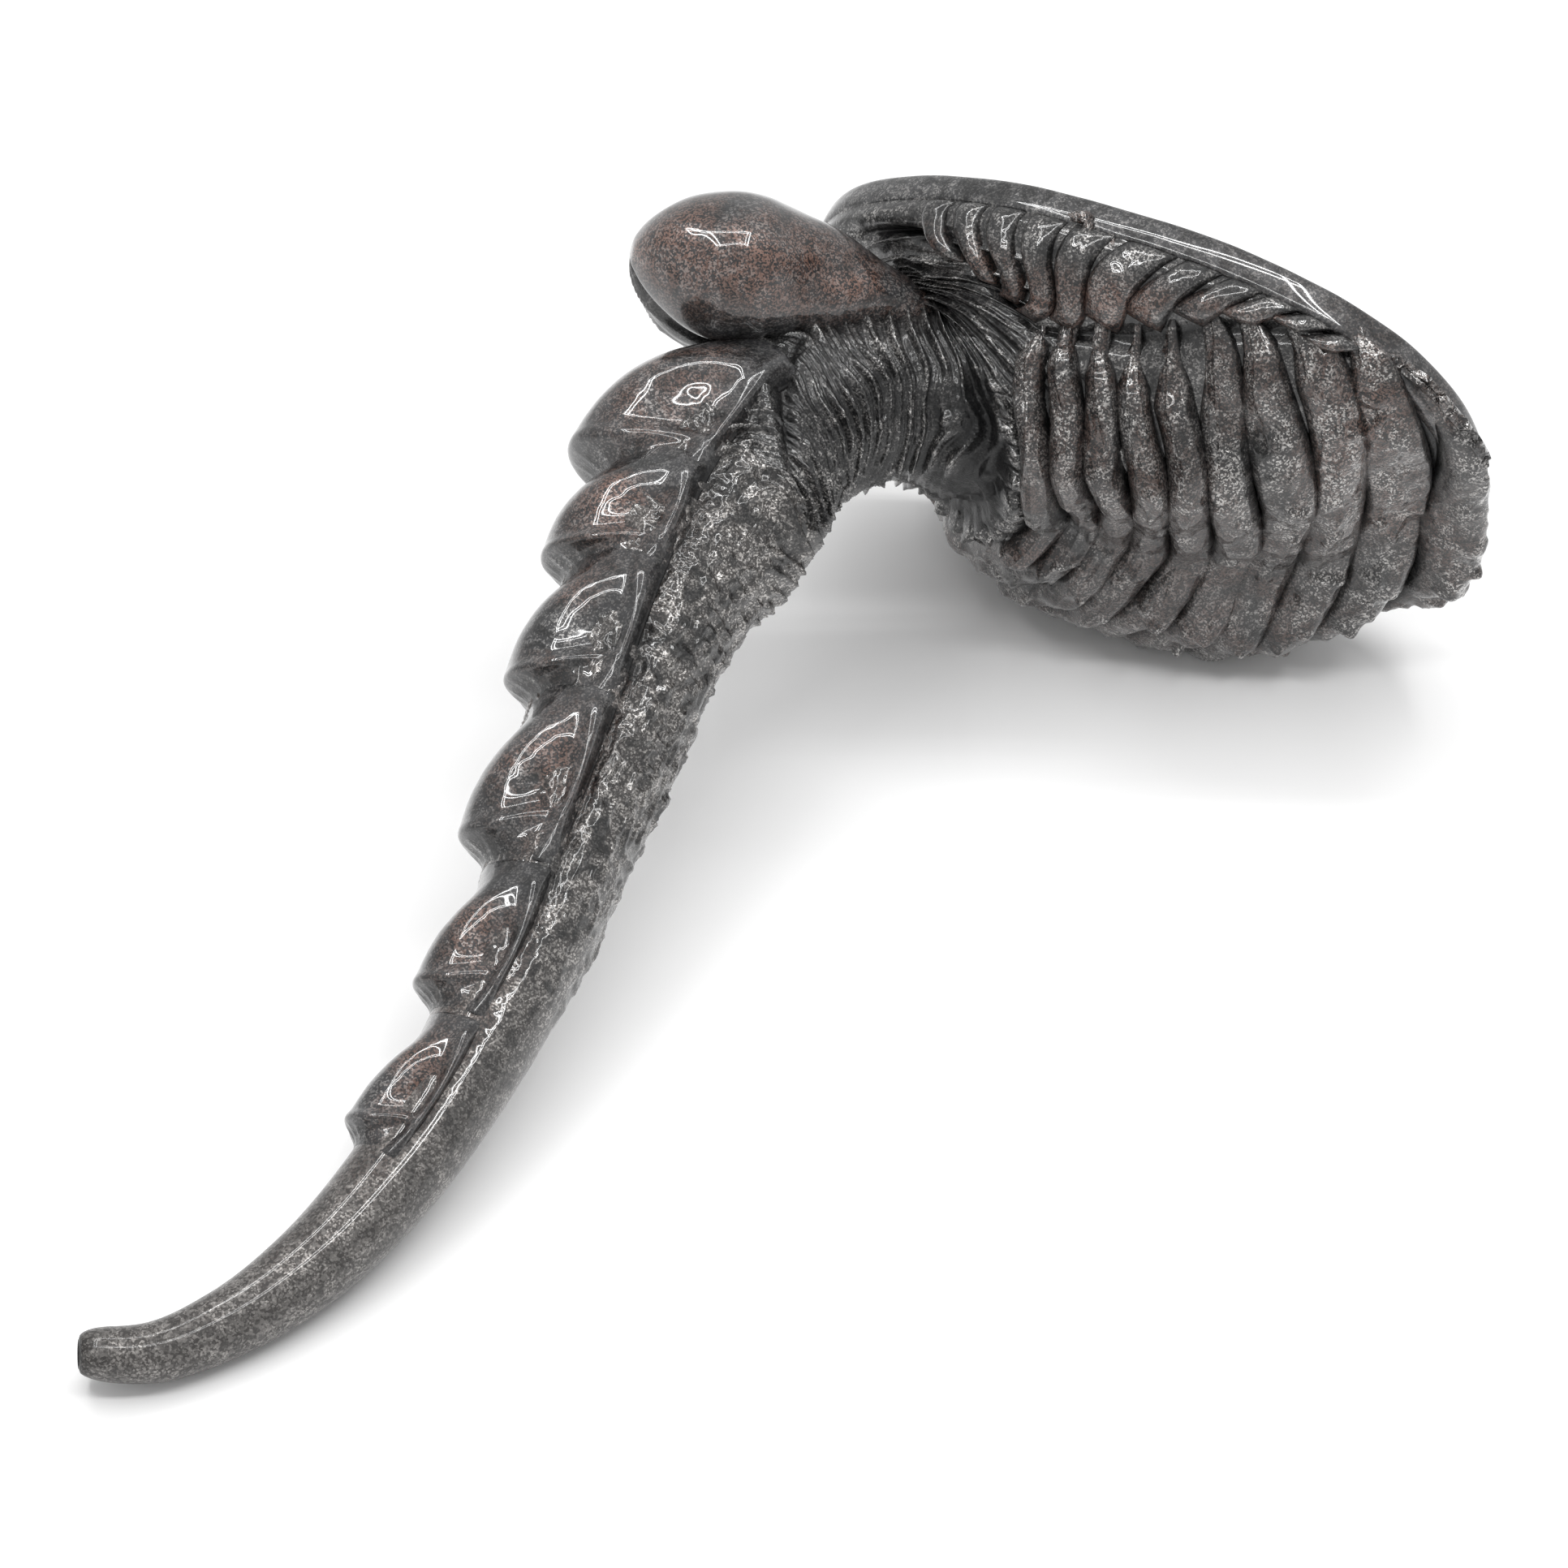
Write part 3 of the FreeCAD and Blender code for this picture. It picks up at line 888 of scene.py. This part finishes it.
@dataclass
class Tube:
    """A stretch of carved skin with its own wall and air way."""

    name: str
    start: float
    end: float
    round_count: int
    outer_rows: int
    inner_rows: int
    finish: Finish
    nodes: tuple[str, ...]
    joint_span: float = 0.0008
    joint_drop: float = 0.06
    tip_round_start: float = 0.982
    tip_round_drop: float = 1.7
    tuck_share: float = 1.8

    def patch(self, x: Field, y: Field) -> Patch:
        """The skin, down the outside and back up the inside.

        Args:
            x: 0 to 1 round the horn.
            y: 0 to 1 along the outside and back.

        Returns:
            The patch.
        """
        angle = x * 2 * math.pi
        rows = self.outer_rows + self.inner_rows
        share = (self.outer_rows - 1) / rows
        outside = (y <= share + TINY) | (y >= 1 - TINY)
        go = np.where(y >= 1 - TINY, 0.0, np.clip(y / share, 0, 1))
        back = np.clip((y - share - 1 / rows) / (1 - share - 2 / rows), 0, 1)
        place = np.where(outside, self.start + (self.end - self.start) * go,
                         self.end + (self.start - self.end) * back)
        plain = HORN.skin(place, angle)
        height = RELIEF.height(place, angle, plain)
        ends = 1 - ease(0.0, self.joint_span, np.minimum(place - self.start, self.end - place))
        cap = np.clip((place - self.tip_round_start) / (1.0 - self.tip_round_start), 0, 1)
        height = height - self.joint_drop * ends
        height = height - self.tip_round_drop * (1 - np.sqrt(1 - cap * cap))
        outer = HORN.raised(place, angle, height)
        inset = np.interp(place, WALL_PLACES, WALL_DEPTHS)
        inner = HORN.skin(place, angle, inset + self.tuck_share * tuck(place, angle))
        points = np.where(outside[:, None], outer, inner)
        deg = folded(angle)
        side = np.degrees(angle) % 360.0
        lip = fold_lip(deg)
        tail = ease(0.0, 0.03, place - lip)
        wear_and_highlight = np.where(outside, 0.35 + 0.5 * ease(0.2, 0.9, height), 0.0)
        wear_and_highlight = wear_and_highlight + 0.35 * tail * (1 - ease(0.55, 0.8, place)) * ease(70, 100, side)
        copper = 0.25 * hump(place, 0.60, 0.25) * (1 - ease(80, 110, deg))
        # painted shade: darker where the carved skin dips, darker through the low places of the
        # neck band, and half dark over the whole inside wall of the bore
        hollow = ease(0.10, 0.13, place) * (1 - ease(0.28, 0.33, place)) * (1.1 - height)
        painted_shade = np.clip(np.maximum(-height * 0.45, 0.75 * hollow), 0, 0.9) * outside
        painted_shade = painted_shade + 0.5 * (~outside)
        satin = ease(0.60, 0.95, place) * outside
        return Patch(points, copper, np.clip(wear_and_highlight, 0, 1), painted_shade, satin)

    def build(self) -> None:
        """The stretch as one closed mesh."""
        rows = self.outer_rows + self.inner_rows
        piece = shape_grid(self.name, self.round_count + 1, rows + 1, self.patch, closed=True)
        dress(piece, self.finish, self.nodes)


@dataclass
class Rim:
    """The smooth rounded lip round the mouth."""

    end: float = 0.0205
    middle_inset: float = 2.3
    top_inset: float = 0.1
    over: float = 1.05
    depth_power: float = 0.8
    outward_power: float = 0.42
    columns: int = 480
    rows: int = 40

    def patch(self, x: Field, y: Field) -> Patch:
        """The lip.

        Args:
            x: 0 to 1 round the mouth.
            y: 0 to 1 round the lip's section.

        Returns:
            The patch.
        """
        angle = x * 2 * math.pi
        turn = y * 2 * math.pi
        width = self.end * HORN.length / 2
        depth = -np.cos(turn) * width
        depth = np.sign(depth) * np.abs(depth / width) ** self.depth_power * width
        outward = np.sin(turn)
        outward = np.sign(outward) * np.abs(outward) ** self.outward_power
        mouth = np.zeros_like(angle)
        middle = HORN.skin(mouth, angle, self.middle_inset)
        wall = (HORN.skin(mouth, angle, self.top_inset) - middle) * self.over
        points = middle + wall * outward[:, None]
        points = points + np.array([0.0, 1.0, 0.0]) * (depth + width)[:, None]
        lump = GRAIN.rough(points, 14.0, 2)
        out = HORN.normal(np.full_like(angle, 0.004), angle)
        points = points + out * corner(mouth, angle)[:, None]
        points = points + np.array([0.0, 0.5, 0.0]) * lump[:, None]
        deg = np.degrees(angle) % 360
        points = points + np.array([0.0, 1.6, 0.0]) * (
            hump(deg, 165.0, 45.0) * np.clip(np.cos(turn) * -1, 0, 1))[:, None]
        wear_and_highlight = 0.15 + 0.25 * hump(deg, 50.0, 30.0)
        return Patch(points, 0.12 * hump(deg, 150.0, 40.0), wear_and_highlight, 0.0 * x, 0.0 * x)

    def build(self) -> None:
        """The rim as one closed ring."""
        piece = shape_grid("rim_ring", self.columns + 1, self.rows + 1, self.patch, closed=True)
        dress(piece, Finish.RIM, ("bell_rim",))


RIB_FANS = (99, 103, 112, 150, 166)
RIB_TOPS = (74, 78, 81, 112, 134)


@dataclass
class BellyRib:
    """One fat rib round the belly, from crease to crease."""

    name: str
    fan: float
    half_fan: float
    height: float
    seed: float
    nodes: tuple[str, ...]
    base: float = 0.9
    wart_height: float = 2.8
    nearest_mouth: float = 0.0165
    thick: float = 1.2
    columns: int = 34
    rows: int = 260

    def patch(self, x: Field, y: Field) -> Patch:
        """The rib.

        Args:
            x: 0 to 1 across the rib.
            y: 0 to 1 along it, from one crease to the other.

        Returns:
            The patch.
        """
        across = x * 2 - 1
        top = np.interp(self.fan, RIB_FANS, RIB_TOPS)
        deg = top + (360 - 2 * top) * y
        near = np.where(deg > 180, 360 - deg, deg)
        angle = np.radians(deg)
        taper = ease(0.0, 0.10, (near - top) / 90.0)
        bend = 13.0 * np.clip((160 - self.fan) / 57, 0, 1) * np.clip((near - 80) / 95, 0, 1.1)
        wave = 0.5 * np.sin(near / 9.0 + self.seed)
        fan = self.fan + bend + wave + across * self.half_fan * (0.45 + 0.55 * taper)
        place = HORN.at_fan(fan, angle)
        place = np.maximum(place, self.nearest_mouth)
        plain = HORN.skin(place, angle)
        dome = np.clip(1 - np.abs(across) ** 2.1, 0, 1) ** 0.5
        lumps = 1 + 0.26 * GRAIN.at(plain + self.seed, 9.0) + 0.14 * GRAIN.at(plain, 4.0)
        knuckle = hump(near, 166.0, 7.0) * (0.22 + 0.14 * math.sin(self.seed * 2.3))
        neck = 0.12 * ease(158.0, 170.0, near) + 0.22 * ease(170.0, 182.0, near)
        tall = self.height * (0.55 + 0.45 * ease(0, 0.5, (near - top) / 90.0))
        height = tall * dome * (0.25 + 0.75 * taper) * lumps * (1 + knuckle - neck)
        wart = np.clip(FINE.at(plain, 2.9) - 0.30, 0, 1) * ease(115, 150, near)
        height = height + self.wart_height * wart * dome
        ridge = (1 - np.abs(np.sin(across * 4.4 + 2.0 * GRAIN.at(plain, 8.0)))) ** 3
        height = height + 0.35 * ridge * dome - self.base
        ends = ease(0.0, 0.012, np.minimum(y, 1 - y))
        height = height * ends - 0.6 * (1 - ends)
        height = height + 0.12 * FINE.rough(plain, 2.4, 2) - tuck(place, angle)
        points = HORN.raised(place, angle, height)
        # painted shade: darker down the rib's sides into the grooves between ribs
        painted_shade = np.clip(1.15 - dome * 1.35, 0, 0.95)
        # the crown takes more silver near the rib's upper end, fading down the belly: partly real
        # wear, partly a painted highlight where the light falls on the rib tops
        crown = ease(0.5, 1.0, dome) * 0.7
        wear_and_highlight = 0.25 + crown * (1 - ease(0.3, 0.9, (near - top) / 90.0)) + wart
        copper = 0.55 * ease(0.3, 0.9, dome) * (0.5 + 0.5 * GRAIN.at(plain, 20.0))
        return Patch(points, np.clip(copper, 0, 1), np.clip(wear_and_highlight, 0, 1), painted_shade, 0.0 * x)

    def build(self) -> None:
        """The rib as a closed skin."""
        piece = shape_grid(self.name, self.columns, self.rows, self.patch, thick=self.thick)
        dress(piece, Finish.RIB, self.nodes)


@dataclass
class Pod:
    """One rounded pod in the row between the rim and the crease."""

    number: int
    mirrored: bool
    first_angle: float = 55.0
    step_angle: float = 6.9
    height: float = 4.0
    base: float = 0.8
    half_share: float = 0.49
    lean: float = 6.0
    start: float = 0.0215
    crease_gap: float = 0.002
    least_length: float = 0.011
    thick: float = 0.9
    columns: int = 34
    rows: int = 56

    def patch(self, x: Field, y: Field) -> Patch:
        """The pod.

        Args:
            x: 0 to 1 across the pod.
            y: 0 to 1 from the rim to the crease.

        Returns:
            The patch.
        """
        across = x * 2 - 1
        along = y * 2 - 1
        middle = self.first_angle + self.step_angle * self.number
        half = self.step_angle * self.half_share
        high = float(crease(np.array(middle))) - self.crease_gap
        high = max(high, self.start + self.least_length)
        place = self.start + (high - self.start) * y
        deg = middle + half * across * (0.86 + 0.14 * y) - self.lean * (y - 0.5)
        angle = np.radians(-deg if self.mirrored else deg)
        plain = HORN.skin(place, angle)
        body = np.clip(1 - np.abs(across) ** 2.6, 0, 1) ** 0.55
        body = body * np.clip(1 - np.abs(along) ** 3.2, 0, 1) ** 0.55
        swell = 0.72 + 0.28 * ease(0.2, 0.9, y)
        height = self.height * body * swell * (1 + 0.15 * GRAIN.at(plain, 5.0)) - self.base
        height = height + 0.16 * FINE.rough(plain, 2.0, 2)
        points = HORN.raised(place, angle, height)
        # painted shade: darker round the pod's edges where it meets the skin
        painted_shade = np.clip(0.95 - body * 1.3, 0, 0.95)
        wear_and_highlight = 0.35 * ease(0.3, 0.8, body) + 0.4 * (1 - ease(0.1, 0.4, y))
        copper = 0.95 * ease(0.3, 0.8, y) * body
        return Patch(points, copper, wear_and_highlight, painted_shade, 0.0 * x)

    def build(self) -> None:
        """The pod as a closed skin."""
        word = "off" if self.mirrored else "near"
        name = f"pod_{word}_{self.number + 1}"
        piece = shape_grid(name, self.columns, self.rows, self.patch, thick=self.thick)
        dress(piece, Finish.POD, (f"shoulder_pod_{word}_{self.number + 1}",))


@dataclass
class Scute:
    """One curling wave of the crest."""

    word: str
    start: float
    end: float
    height: float
    seed: float
    left: float = -58.0
    right: float = 90.0
    breadth: float = 36.0
    bowl_depth: float = 1.7
    lip_height: float = 1.5
    lean_share: float = 0.50
    thick: float = 0.9
    columns: int = 120
    rows: int = 130

    def patch(self, x: Field, y: Field) -> Patch:
        """The scute.

        Args:
            x: 0 to 1 across the crest.
            y: 0 to 1 along it, towards the tip.

        Returns:
            The patch.
        """
        deg = self.left + (self.right - self.left) * x
        angle = np.radians(deg)
        span = self.end - self.start
        place = self.start + span * y
        plain = HORN.skin(place, angle)
        crest = 62.0 - 56.0 * ease(0.0, 0.78, y)
        rise = ease(-0.10, 0.62, y) * (1 - ease(0.74, 0.985, y))
        ridge = np.exp(-np.abs((deg - crest) / self.breadth) ** 2.4)
        bowl = hump(deg, 60.0, 15.0) * hump(y, 0.52, 0.24)
        swing = np.sin(math.pi * np.clip(y, 0, 1)) ** 0.6
        lip = hump(deg, 68.0 + 14.0 * swing, 6.5) * swing
        brow = hump(y, 0.80 - 0.10 * ease(20, 80, deg), 0.055) * hump(deg, 42.0, 34.0)
        height = self.height * rise * ridge - self.bowl_depth * bowl
        height = height + self.lip_height * lip + self.lip_height * brow * rise
        comb = (1 - np.abs(np.sin(deg / 3.4 + 2.0 * GRAIN.at(plain, 7.0)))) ** 2
        under = ease(0.80, 0.90, y) * ridge
        height = height + 0.55 * comb * under * rise
        height = height + 0.10 * FINE.rough(plain, 3.0, 2)
        edge = np.minimum(np.minimum(x, 1 - x) / 0.06, np.minimum(y, 1 - y) / 0.035)
        edge = ease(0.0, 1.0, edge)
        height = height * edge - 1.0 * (1 - edge)
        points = HORN.raised(place, angle, height)
        ahead = HORN.skin(place + 0.004, angle) - HORN.skin(place - 0.004, angle)
        ahead = ahead / (np.linalg.norm(ahead, axis=-1, keepdims=True) + TINY)
        lean = np.clip(height, 0, None) * self.lean_share * ease(0.3, 0.8, y)
        points = points + ahead * lean[:, None]
        # painted shade: darker along the edges where the scute tucks into the shaft, and between
        # the comb ridges of the undercut
        painted_shade = np.clip(1 - edge, 0, 0.8) + 0.6 * under * (1 - comb)
        wear_and_highlight = 0.10 + 0.5 * under + 0.25 * hump(deg, 40.0, 20.0) * hump(y, 0.6, 0.2)
        copper = 0.9 * hump(deg, 50.0, 24.0) * hump(y, 0.50, 0.30)
        return Patch(points, copper, np.clip(wear_and_highlight, 0, 1), np.clip(painted_shade, 0, 0.9), 0.0 * x)

    def build(self) -> None:
        """The scute as a closed skin."""
        piece = shape_grid("scute_" + self.word, self.columns, self.rows, self.patch,
                           thick=self.thick)
        dress(piece, Finish.SCUTE, ("crest_scute_" + self.word,))


@dataclass
class CrownKnob:
    """The smooth bulb over the bend of the neck."""

    centre: tuple[float, float, float] = (66.5, 29.5, 13.2)
    reach: tuple[float, float, float] = (26.0, 12.5, 12.5)
    stretch: float = 0.34
    lump_height: float = 2.1
    notch_depth: float = 2.6
    droop: float = 5.0
    columns: int = 190
    rows: int = 130

    def patch(self, x: Field, y: Field) -> Patch:
        """The knob.

        Args:
            x: 0 to 1 round the knob's long axis.
            y: 0 to 1 from its blunt end to its narrow end.

        Returns:
            The patch.
        """
        turn = x * 2 * math.pi
        polar = y * math.pi
        long_part = -np.cos(polar)
        run = long_part * self.reach[0] * (1 + self.stretch * (long_part > 0))
        ring = np.sin(polar) ** 0.75
        bulb = 1.0 + 0.22 * hump(long_part, -0.45, 0.45) - 0.42 * ease(-0.15, 0.80, long_part)
        forward = np.array([-0.92, -0.39, 0.0])
        across = np.array([0.39, -0.92, 0.0])
        up = np.array([0.0, 0.0, 1.0])
        wide = self.reach[1] * ring * bulb
        high = self.reach[2] * ring * bulb
        crest = 1 + 0.16 * hump(turn, math.radians(100), 0.5)
        points = (np.array(self.centre) + forward * run[:, None]
                  + across * (wide * np.cos(turn) * crest)[:, None]
                  + up * (high * np.sin(turn) * crest)[:, None])
        lump = GRAIN.rough(points, 15.0, 2)
        comb = (1 - np.abs(np.sin(turn * 9 + lump * 3))) ** 2
        under = ease(3.4, 4.0, turn) * (1 - ease(5.4, 6.0, turn))
        under = under * (1 - ease(-0.5, 0.1, long_part))
        out = across * np.cos(turn)[:, None] + up * np.sin(turn)[:, None]
        notch = hump(turn, 3.5, 0.20) * (1 - ease(0.3, 0.9, long_part))
        saddle = hump(long_part, 0.28, 0.24) * hump(turn, 1.7, 0.55)
        fade = ease(0.0, 0.30, np.sin(polar))[:, None]
        points = points + fade * out * (
            self.lump_height * lump + comb * under - self.notch_depth * notch
            - self.notch_depth * saddle)[:, None]
        points = points + up * (-self.droop * ease(0.2, 1.0, long_part))[:, None]
        copper = 0.9 * hump(turn, 1.9, 0.9)
        wear_and_highlight = 0.3 * hump(turn, 1.9, 1.0) + 0.4 * under
        # the fourth value is painted shade on the knob's underside between the comb ridges
        return Patch(points, copper, wear_and_highlight, 0.5 * under * (1 - comb), 0.0 * x)

    def build(self) -> None:
        """The knob as one closed mesh."""
        piece = shape_grid("crown_knob_bulb", self.columns + 1, self.rows, self.patch, closed=True)
        dress(piece, Finish.SCUTE, ("crown_knob",))


@dataclass
class Studio:
    """The pale floor, the lights and the camera."""

    floor_size: float = 6.0
    floor_tone: float = 0.92
    distance: float = 0.8
    aim: tuple[float, float, float] = (-0.0658, -0.0887, -0.0220)
    lens: float = 104.35
    sensor: float = 36.0
    room_light: float = 0.66
    strip_height: float = 0.62
    strip_half_x: float = 0.30
    strip_half_y: float = 0.24
    strip_thin: float = 0.011
    strip_step: float = 0.045
    long_power: float = 0.62
    short_power: float = 0.52

    def floor(self) -> None:
        """A wide plain floor."""
        bpy.ops.object.select_all(action="DESELECT")
        bpy.ops.mesh.primitive_plane_add(size=self.floor_size, location=(0.0, 0.0, 0.0))
        plane = bpy.context.active_object
        plane.name = "studio_floor"
        paint = Paint("studio_floor_paint")
        shader = paint.add("ShaderNodeBsdfPrincipled", {}, {})
        shader.inputs["Base Color"].default_value = (
            self.floor_tone, self.floor_tone, self.floor_tone, 1.0)
        shader.inputs["Roughness"].default_value = 0.7
        plane.data.materials.append(paint.finish(shader))

    def strip(self, name: str, place: tuple[float, float, float], size: tuple[float, float],
              power: float) -> None:
        """One thin strip light that faces down.

        Args:
            name: the light's name.
            place: where it hangs, in metres.
            size: its two sides, in metres.
            power: its power in watts.
        """
        bpy.ops.object.light_add(type="AREA", location=place)
        lamp = bpy.context.active_object
        lamp.name = name
        lamp.data.shape = "RECTANGLE"
        lamp.data.size = size[0]
        lamp.data.size_y = size[1]
        lamp.data.energy = power

    def lights(self) -> None:
        """A white room and a ring of strip lights overhead."""
        world = bpy.data.worlds.new("studio_room")
        world.use_nodes = True
        back = world.node_tree.nodes["Background"]
        back.inputs["Color"].default_value = (1.0, 1.0, 1.0, 1.0)
        back.inputs["Strength"].default_value = self.room_light
        bpy.context.scene.world = world
        half_x, half_y = self.strip_half_x, self.strip_half_y
        for row, offset in ((0, 0.0), (1, self.strip_step)):
            for sign in (-1, 1):
                self.strip(f"strip_long_{row}_{sign + 1}",
                           (0.0, sign * (half_y - offset), self.strip_height),
                           (2 * half_x, self.strip_thin), self.long_power)
                self.strip(f"strip_short_{row}_{sign + 1}",
                           (sign * (half_x - offset), 0.0, self.strip_height),
                           (self.strip_thin, 2 * half_y), self.short_power)

    def camera(self) -> None:
        """The camera, looking down at the horn."""
        look = math.radians(LOOK_DEGREES)
        settle = settling()
        ahead = settle @ Vector((0.0, math.cos(look), -math.sin(look)))
        up = settle @ Vector((0.0, math.sin(look), math.cos(look)))
        right = settle @ Vector((1.0, 0.0, 0.0))
        aim = settle @ Vector(self.aim) + Vector(tuple(HORN.shift * MM))
        place = aim - ahead * self.distance
        turn = Matrix((right, up, -ahead)).transposed().to_4x4()
        bpy.ops.object.camera_add(location=place)
        camera = bpy.context.active_object
        camera.name = "studio_camera"
        camera.matrix_world = Matrix.Translation(place) @ turn
        camera.data.lens = self.lens
        camera.data.sensor_width = self.sensor
        camera.data.clip_start = 0.01
        bpy.context.scene.camera = camera

    def build(self) -> None:
        """Everything round the horn."""
        self.floor()
        self.lights()
        self.camera()
        bpy.context.scene.view_settings.view_transform = "Standard"


SCUTE_SPANS = (
    ("one", 0.262, 0.368, 8.0), ("two", 0.345, 0.424, 5.2), ("three", 0.410, 0.506, 5.6),
    ("four", 0.496, 0.610, 5.8), ("five", 0.606, 0.706, 4.8), ("six", 0.704, 0.800, 4.0),
)


@dataclass
class Shofar:
    """The whole horn."""

    rib_count: int = 10
    ribs_by_neck: int = 2
    first_fan: float = 105.5
    fan_step: float = 6.75
    rib_half_fan: float = 3.35
    rib_height: float = 5.9
    rib_seed_step: float = 1.7
    pod_count: int = 11
    scute_seed_step: float = 2.1

    def build(self) -> None:
        """Build every sub-assembly in order."""
        Tube("bell_skin", 0.0165, 0.150, 560, 150, 22, Finish.BELL, ("bell_shell",)).build()
        Tube("neck_skin", 0.1485, 0.328, 380, 196, 16, Finish.BELL, ("neck",)).build()
        Tube("tail_skin", 0.3265, 0.962, 230, 384, 16, Finish.TAIL, ("tail_shaft",)).build()
        Tube("tip_skin", 0.9605, 1.0, 110, 64, 12, Finish.TAIL, ("mouthpiece_tip",)).build()
        Rim().build()
        for index in range(self.rib_count):
            number = index + 1 - self.ribs_by_neck
            nodes = (f"belly_rib_{number}",) if number > 0 else ()
            BellyRib(f"rib_{index + 1}", self.first_fan + self.fan_step * index,
                     self.rib_half_fan, self.rib_height, self.rib_seed_step * index,
                     nodes).build()
        for number in range(self.pod_count):
            for mirrored in (False, True):
                Pod(number, mirrored).build()
        CrownKnob().build()
        for index, (word, start, end, height) in enumerate(SCUTE_SPANS):
            Scute(word, start, end, height, self.scute_seed_step * index).build()


def main() -> None:
    """Build the horn and its studio."""
    Shofar().build()
    Studio().build()


if __name__ == "__main__":
    main()
